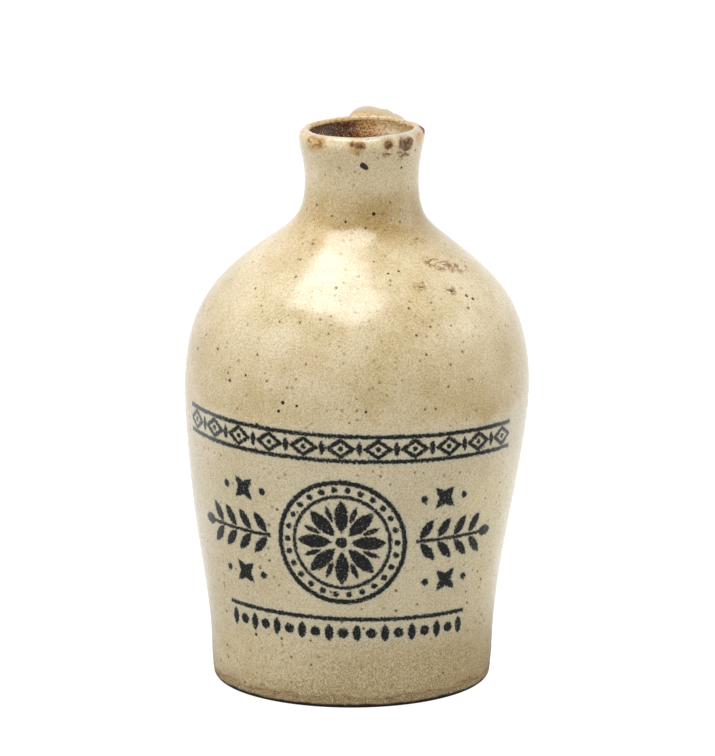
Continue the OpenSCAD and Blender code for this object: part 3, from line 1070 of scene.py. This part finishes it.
class Strap:
    """The strap behind the neck: lines that run along it, cut off where they enter the wall."""

    SIDES = 64
    LENGTH_STEPS = 60
    SHORT_OF_END = 0.000001
    # The section: how square its edges and faces are, and the groove down its back
    EDGE_POWER = 0.62
    FACE_POWER = 0.85
    GROOVE = 0.32 * MM
    GROOVE_SHARE = 0.26
    # Made by hand: uneven, twisted, and with a crown that droops to the right
    UNEVEN_SHARE = 0.05
    UNEVEN_RATE = 7
    TWIST = math.radians(-5)
    DROOP = 0.8 * MM
    DROOP_SIDE = (0.3 * MM, 2.4 * MM)
    # How deep the strap's ends lie in the wall
    BURIED = 0.6 * MM
    # Each end as a share of the length inside the wall and one outside it
    ROOT_END = (0, 0.4)
    LAND_END = (1, 0.6)
    HALVINGS = 24
    # How far the slip is smeared over the wall and climbs the strap, and the size of its unevenness
    SMEAR = 2.2 * MM
    SMEAR_LEAST = 0.35 * MM
    SMEAR_SIZE = 2.4 * MM
    CLIMB = 2.0 * MM
    CLIMB_SIZE = 3 * MM
    # The slip's edges are sunk by this much, and its ends are tucked in by that much
    SUNK = 0.03 * MM
    TUCKED = 0.4 * MM
    BELOW_LIP = 0.2 * MM
    PROBE = 0.2 * MM

    def __init__(self, s, outline):
        self.s = s
        self.outline = outline
        half = s.strap_thickness / 2
        climb = Vector((math.cos(s.root_climb), math.sin(s.root_climb)))
        fall = Vector((-math.cos(s.land_fall), -math.sin(s.land_fall)))
        crown = Vector((s.crown_reach, s.crown_height - half))
        back = Vector((s.reach - half, s.height - s.reach_drop))
        root = self.seat(s.root_drop)
        land = self.seat(s.land_drop)
        root -= climb * self.bite(root, s.strap_top_width)
        land += fall * self.bite(land, s.strap_foot_width)
        self.curves = (
            bow(root, crown, climb, OUT, RISE_PULLS),
            bow(crown, back, OUT, -UP, BACK_PULLS),
            bow(back, land, -UP, fall, FALL_PULLS),
        )
        middles = [self.frame_at(i / self.LENGTH_STEPS)[0] for i in range(self.LENGTH_STEPS + 1)]
        self.length = sum((b - a).length for a, b in zip(middles, middles[1:]))
        turns = [side / self.SIDES for side in range(self.SIDES)]
        self.starts = [self.meeting(turn, self.ROOT_END, self.BURIED) for turn in turns]
        self.ends = [self.meeting(turn, self.LAND_END, self.BURIED) for turn in turns]

    def seat(self, drop):
        """Where the strap's middle meets the clay wall, at a depth below the lip."""
        height = self.s.height - drop
        return Vector((self.outline.radius(height) - self.s.glaze, height))

    def bite(self, seat, width):
        """How deep the strap's middle has to start for its edges to meet the round wall."""
        clay = self.s.strap_thickness - 2 * self.s.glaze
        return seat.x - math.sqrt(seat.x ** 2 - (width / 2) ** 2) + clay

    def frame_at(self, share):
        """Middle and heading of the strap at a share of its length."""
        count = len(self.curves)
        place = min(max(share * count, 0), count - self.SHORT_OF_END)
        curve = self.curves[int(place)]
        return bow_point(curve, place % 1), bow_heading(curve, place % 1)

    def corner(self, share, turn, grow=0.0):
        """A corner of the strap's section at a share of its length and a turn round it."""
        s = self.s
        middle, heading = self.frame_at(share)
        away = -right_of(heading)
        width = s.strap_top_width + (s.strap_foot_width - s.strap_top_width) * share
        c, n = math.cos(turn * math.tau), math.sin(turn * math.tau)
        x = width / 2 * math.copysign(abs(c) ** self.EDGE_POWER, c)
        y = s.strap_thickness / 2 * math.copysign(abs(n) ** self.FACE_POWER, n)
        hand = 1 + self.UNEVEN_SHARE * noise.noise(Vector((share * self.UNEVEN_RATE, c, n)))
        x, y = x * hand + grow * c, y * hand + grow * n
        if n > 0:
            y -= self.GROOVE * math.exp(-((x / width / self.GROOVE_SHARE) ** 2) * 4)
        y -= self.DROOP * math.sin(share * math.pi) * smooth_share(x, *self.DROOP_SIDE)
        twist = self.TWIST * math.sin(share * math.pi)
        x, y = x * math.cos(twist) - y * math.sin(twist), y * math.cos(twist) + x * math.sin(twist)
        point = middle + away * y
        return Vector((x, point.x, point.y))

    def meeting(self, turn, end, depth):
        """The share of the length at which a line of the strap lies that deep in the wall, near one end."""
        inside, outside = end
        for _ in range(self.HALVINGS):
            middle = (inside + outside) / 2
            if self.outline.height_over(self.corner(middle, turn)) < -depth:
                inside = middle
            else:
                outside = middle
        return outside

    def line_point(self, share, side):
        """A point of a line of the strap, at a share of what shows of it."""
        start, end = self.starts[side], self.ends[side]
        return self.corner(start + (end - start) * share, side / self.SIDES)

    def smear(self, side, at_root, steps):
        """A line of the slip round one end: out of the wall, and in a hollow curve onto the strap."""
        turn = side / self.SIDES
        share = self.meeting(turn, self.ROOT_END if at_root else self.LAND_END, 0)
        contact = self.corner(share, turn)
        out = self.outline.normal(contact)
        spread = self.corner(share, turn, self.PROBE) - contact
        spread = (spread - out * spread.dot(out)).normalized()
        reach = self.SMEAR * (1 + 0.5 * noise.noise(contact / self.SMEAR_SIZE))
        top = self.s.height - self.s.lip_drop - self.BELOW_LIP
        if spread.z > 0.05 and at_root:
            reach = min(reach, max((top - contact.z) / spread.z, self.SMEAR_LEAST))
        low = self.outline.seated(contact + spread * reach, self.SUNK)
        along = self.CLIMB * (1 + 0.4 * noise.noise(contact / self.CLIMB_SIZE + OFF_GRID)) / self.length
        high_share = share + (along if at_root else -along)
        high = self.corner(high_share, turn, -self.SUNK)
        points = [self.outline.seated(low, self.BURIED)]
        for i in range(steps + 1):
            t = i / steps
            points.append(low * (1 - t) ** 2 + contact * 2 * t * (1 - t) + high * t * t)
        return points + [self.corner(high_share, turn, -self.TUCKED)]


class JugOperator(bpy.types.Operator):
    """What the jug's operators share."""

    bl_options = {"REGISTER", "UNDO"}

    @property
    def sizes(self):
        return bpy.context.scene.jug_sizes

    @property
    def look(self):
        return bpy.context.scene.jug_finish

    @property
    def outline(self):
        return Outline(self.sizes)

    def glazed(self, outline):
        """The outer glaze's material, made the first time that it is asked for."""
        return bpy.data.materials.get(GLAZE_NAME) or glaze_finish(outline, self.look)


class JUG_OT_outer_glaze(JugOperator):
    """Lathe the outer glaze, from its rounded edge above the foot over the lip"""

    bl_idname = "jug.outer_glaze"
    bl_label = "Outer glaze"
    EDGE_SHARE = 0.35
    RUN = 0.8 * MM
    RUN_SIZE = 5 * MM
    # Steps of the wall, the dome, the neck's root and the neck
    OUTER_STEPS = (72, 42, 24, 14)
    INNER_STEPS = (6, 8, 6, 4)

    def run_down(self, point):
        """The glaze's lower edge stops higher here and lower there."""
        s = self.sizes
        share = 1 - smooth_share(point.z, s.bare, s.foot_band)
        return point + Vector((0, 0, self.RUN * share * noise.noise(point / self.RUN_SIZE)))

    def execute(self, context):
        s, outline = self.sizes, self.outline
        thin = self.EDGE_SHARE * s.glaze
        middle = Vector((s.foot_radius - s.glaze + thin / 2, s.bare + thin / 2))
        edge = arc_points(middle, thin / 2, -180, 0, 6)
        band = []
        for i in range(1, 10):
            height = s.bare + thin / 2 + (s.foot_band - s.bare - thin / 2) * i / 10
            lost = (s.glaze - thin) * (1 - smooth_share(height, s.bare, s.foot_band))
            band.append(Vector((s.foot_radius - lost, height)))
        outer = outline.outside(0, self.OUTER_STEPS, 14)
        inner = outline.outside(-s.glaze, self.INNER_STEPS, 8)
        obj = lathe("glaze_coat", edge + band + outer + inner[::-1], s.around, True)
        settle(obj, lambda point: outline.thrown(self.run_down(point)))
        hand_over(obj, self.glazed(outline), "outer_glaze", "outer_glaze")
        return {"FINISHED"}


class JUG_OT_clay_pot(JugOperator):
    """Lathe the clay pot under its glazes, bare at the foot"""

    bl_idname = "jug.clay_pot"
    bl_label = "Clay pot"
    AROUND = 180
    OUTER_STEPS = (16, 14, 10, 6)
    HOLLOW_STEPS = (16, 14, 10, 4)

    def execute(self, context):
        s, outline = self.sizes, self.outline
        foot = s.foot_radius - s.glaze
        under = [Vector((foot * i / 12, 0)) for i in range(12)]
        under[-1].x = foot - s.foot_round * 1.5
        edge = arc_points(Vector((foot - s.foot_round, s.foot_round)), s.foot_round, -90, 0, 6)
        outer = outline.outside(-s.glaze, self.OUTER_STEPS, 8)
        inner = outline.hollow(0, self.HOLLOW_STEPS, 6)
        obj = lathe("clay_pot", under + edge + outer + inner[::-1], self.AROUND, False)
        settle(obj, outline.thrown)
        hand_over(obj, clay_finish(self.look), "bare_clay", "vessel")
        return {"FINISHED"}


class JUG_OT_inner_glaze(JugOperator):
    """Lathe the brown liner of the inside"""

    bl_idname = "jug.inner_glaze"
    bl_label = "Inner glaze"
    AROUND = 180
    STEPS = (16, 14, 12, 16)

    def execute(self, context):
        s, outline = self.sizes, self.outline
        loop = outline.hollow(0, self.STEPS, 8) + outline.hollow(s.liner, self.STEPS, 8)[::-1]
        obj = lathe("liner", loop, self.AROUND, False)
        settle(obj, outline.thrown)
        hand_over(obj, slip_finish(self.look), "liner_glaze", "inner_glaze")
        return {"FINISHED"}


class JUG_OT_strap(JugOperator):
    """Roll the strap handle behind the neck"""

    bl_idname = "jug.strap"
    bl_label = "Strap"
    RINGS = 160

    def execute(self, context):
        outline = self.outline
        strap = Strap(self.sizes, outline)

        def ring_at(ring, side):
            return strap.line_point(ring / (self.RINGS - 1), side)

        obj = rolled("strap", self.RINGS, strap.SIDES, ring_at)
        settle(obj, lambda point: outline.thrown(point, 0), 60)
        hand_over(obj, self.glazed(outline), "outer_glaze", "handle", "handle_glaze")
        return {"FINISHED"}


class JUG_OT_lutings(JugOperator):
    """Smear the slip that joins the strap to the neck and the shoulder"""

    bl_idname = "jug.lutings"
    bl_label = "Lutings"
    STEPS = 14

    def execute(self, context):
        outline = self.outline
        strap = Strap(self.sizes, outline)
        ends = (("neck_luting", "upper_luting", True), ("shoulder_luting", "lower_luting", False))
        for name, node, at_root in ends:
            lines = [strap.smear(side, at_root, self.STEPS) for side in range(strap.SIDES)]
            obj = rolled(name, self.STEPS + 3, strap.SIDES, lambda ring, side: lines[side][ring])
            settle(obj, outline.thrown, 60)
            hand_over(obj, self.glazed(outline), "outer_glaze", node)
        return {"FINISHED"}


class JUG_OT_stage(JugOperator):
    """Set the white floor, the soft lights and the camera"""

    bl_idname = "jug.stage"
    bl_label = "Stage"
    # The paper's size in metres, its shade, and how strongly it glows for the camera
    FLOOR = 3.0
    PAPER = 0.60
    GLOW = 1.14
    GLOW_SHARE = 0.92
    # Between these distances from the foot, the paper turns from its true shade to white
    GLOW_START = -1.1 * MM
    GLOW_END = -0.7 * MM
    # The camera's distance in metres and its focal length in millimetres, and what it and the lamps face
    DISTANCE = 1.0
    LENS = 299.0
    CLIP = 50 * MM
    MIDDLE = Vector((0, 0, 44.5 * MM))
    AIM = Vector((0, 0, 48.3 * MM))
    AIM_SIDE = 0.04 * MM
    # The room's light: all round, more from behind and less from overhead, and dim where gloss sees it
    AMBIENT = 0.58
    BEHIND = 0.90
    OVERHEAD_LOSS = 0.85
    DIM = 0.06
    SHEEN_LOSS = 0.6
    # In the jug's gloss, the floor turns white between these distances behind its axis
    BACK = (-20 * MM, 60 * MM)
    # How straight a direction points backwards or up where the wall and the ceiling fade in
    WALL_RISE = (-0.25, 0.4)
    CEILING_RISE = (0.1, 0.9)
    # Degrees to the right of the camera, degrees above the table, distance, width, height and power
    LAMPS = (
        ("softbox", -42, 76, 0.5, 0.44, 0.28, 2.4),
        ("left_fill", -42, 12, 1.2, 1.5, 1.3, 6.6),
        ("right_fill", 84, 10, 1.2, 1.2, 1.3, 6.6),
    )

    def execute(self, context):
        deselect()
        bpy.ops.mesh.primitive_plane_add(size=self.FLOOR)
        floor = take("floor")
        floor.data.materials.append(self.floor_finish())
        self.world()
        for lamp in self.LAMPS:
            self.lamp(*lamp)
        self.camera()
        context.scene.view_settings.view_transform = "Standard"
        return {"FINISHED"}

    @staticmethod
    def direction(turn, lift):
        """From the jug to a place at those degrees round it and above the table."""
        a, e = math.radians(turn), math.radians(lift)
        return Vector((math.sin(a) * math.cos(e), -math.cos(a) * math.cos(e), math.sin(e)))

    def floor_finish(self):
        """A white floor that keeps the jug's shadow and is white to the camera."""
        sheet = Sheet(bpy.data.materials.new("floor"))
        paper = sheet.node("ShaderNodeBsdfDiffuse", {}, {"Color": (self.PAPER, self.PAPER, self.PAPER, 1)})
        glow = sheet.node("ShaderNodeEmission", {}, {"Color": (1, 1, 1, 1), "Strength": self.GLOW})
        seen, mirrored = sheet.node("ShaderNodeLightPath").outputs("Is Camera Ray", "Is Glossy Ray")
        coords = sheet.node("ShaderNodeTexCoord", {}, {}, "Object")
        back = sheet.vector("DOT_PRODUCT", coords, -self.direction(CAMERA_TURN, 0), out=1).rise(*self.BACK)
        away = sheet.vector("LENGTH", sheet.vector("SUBTRACT", coords, lean(0)), out=1)
        foot = bpy.context.scene.jug_sizes.foot_radius
        ring = away.rise(foot + self.GLOW_START, foot + self.GLOW_END)
        share = (seen * ring + mirrored * back) * self.GLOW_SHARE
        white = sheet.node("ShaderNodeMixShader", {}, {0: share, 1: paper, 2: glow})
        dark = sheet.node("ShaderNodeEmission", {}, {"Color": (0, 0, 0, 1)})
        lost = mirrored * (1 - back) * self.SHEEN_LOSS
        both = sheet.node("ShaderNodeMixShader", {}, {0: lost, 1: white, 2: dark})
        sheet.node("ShaderNodeOutputMaterial", {}, {"Surface": both})
        return sheet.owner

    def world(self):
        """Soft light from all round. Gloss finds a white wall behind the jug and a dim room in front."""
        world = bpy.data.worlds.new("studio")
        bpy.context.scene.world = world
        sheet = Sheet(world)
        rays = ("Is Camera Ray", "Is Glossy Ray", "Is Transmission Ray")
        seen, gloss, through = sheet.node("ShaderNodeLightPath").outputs(*rays)
        clear = through.most(seen)
        heading = sheet.node("ShaderNodeTexCoord", {}, {}, "Generated")
        behind = sheet.vector("DOT_PRODUCT", heading, -self.direction(CAMERA_TURN, 0), out=1)
        behind = behind.rise(*self.WALL_RISE)
        wall = self.DIM + behind * (1 - self.DIM)
        overhead = sheet.vector("DOT_PRODUCT", heading, Vector((0, 0, 1)), out=1).rise(*self.CEILING_RISE)
        soft = (self.AMBIENT + behind * self.BEHIND) * (1 - overhead * self.OVERHEAD_LOSS)
        level = (gloss * wall + (1 - gloss) * soft).most(clear)
        light = sheet.node("ShaderNodeBackground", {}, {"Color": (1, 1, 1, 1), "Strength": level})
        sheet.node("ShaderNodeOutputWorld", {}, {"Surface": light})

    def lamp(self, name, turn, lift, distance, width, height, power):
        """A softbox that faces the jug."""
        towards = self.direction(CAMERA_TURN + turn, lift)
        bpy.ops.object.light_add(type="AREA", location=self.MIDDLE + towards * distance)
        lamp = take(name)
        lamp.data.shape = "RECTANGLE"
        lamp.data.size, lamp.data.size_y = width, height
        lamp.data.energy = power
        lamp.rotation_euler = (-towards).to_track_quat("-Z", "Y").to_euler()

    def camera(self):
        """A long lens from the photograph's side and height."""
        towards = self.direction(CAMERA_TURN, CAMERA_LIFT)
        bpy.ops.object.camera_add(location=self.MIDDLE + towards * self.DISTANCE)
        camera = take("camera")
        aim = self.AIM + LEAN_DIRECTION * self.AIM_SIDE
        camera.rotation_euler = (aim - camera.location).to_track_quat("-Z", "Y").to_euler()
        camera.data.lens = self.LENS
        camera.data.clip_start = self.CLIP
        bpy.context.scene.camera = camera


class JUG_PT_panel(bpy.types.Panel):
    """The jug's pieces and sizes in the sidebar"""

    bl_label = "Stoneware jug"
    bl_idname = "JUG_PT_panel"
    bl_space_type = "VIEW_3D"
    bl_region_type = "UI"
    bl_category = "Jug"

    def draw(self, context):
        for operator in OPERATORS:
            self.layout.operator(operator.bl_idname)
        for group in (context.scene.jug_sizes, context.scene.jug_finish):
            for name in group.__annotations__:
                self.layout.prop(group, name)


# In the order in which they run
OPERATORS = (
    JUG_OT_clay_pot,
    JUG_OT_outer_glaze,
    JUG_OT_inner_glaze,
    JUG_OT_strap,
    JUG_OT_lutings,
    JUG_OT_stage,
)
CLASSES = (JugSizes, JugFinish, *OPERATORS, JUG_PT_panel)


def register():
    """Adds the classes and the two groups of settings."""
    for cls in CLASSES:
        bpy.utils.register_class(cls)
    bpy.types.Scene.jug_sizes = PointerProperty(type=JugSizes)
    bpy.types.Scene.jug_finish = PointerProperty(type=JugFinish)


def unregister():
    """Takes the settings and the classes away again."""
    del bpy.types.Scene.jug_finish
    del bpy.types.Scene.jug_sizes
    for cls in reversed(CLASSES):
        bpy.utils.unregister_class(cls)


def main():
    """Builds the jug and its stage."""
    register()
    bpy.ops.jug.clay_pot()
    bpy.ops.jug.outer_glaze()
    bpy.ops.jug.inner_glaze()
    bpy.ops.jug.strap()
    bpy.ops.jug.lutings()
    bpy.ops.jug.stage()


if __name__ == "__main__":
    main()
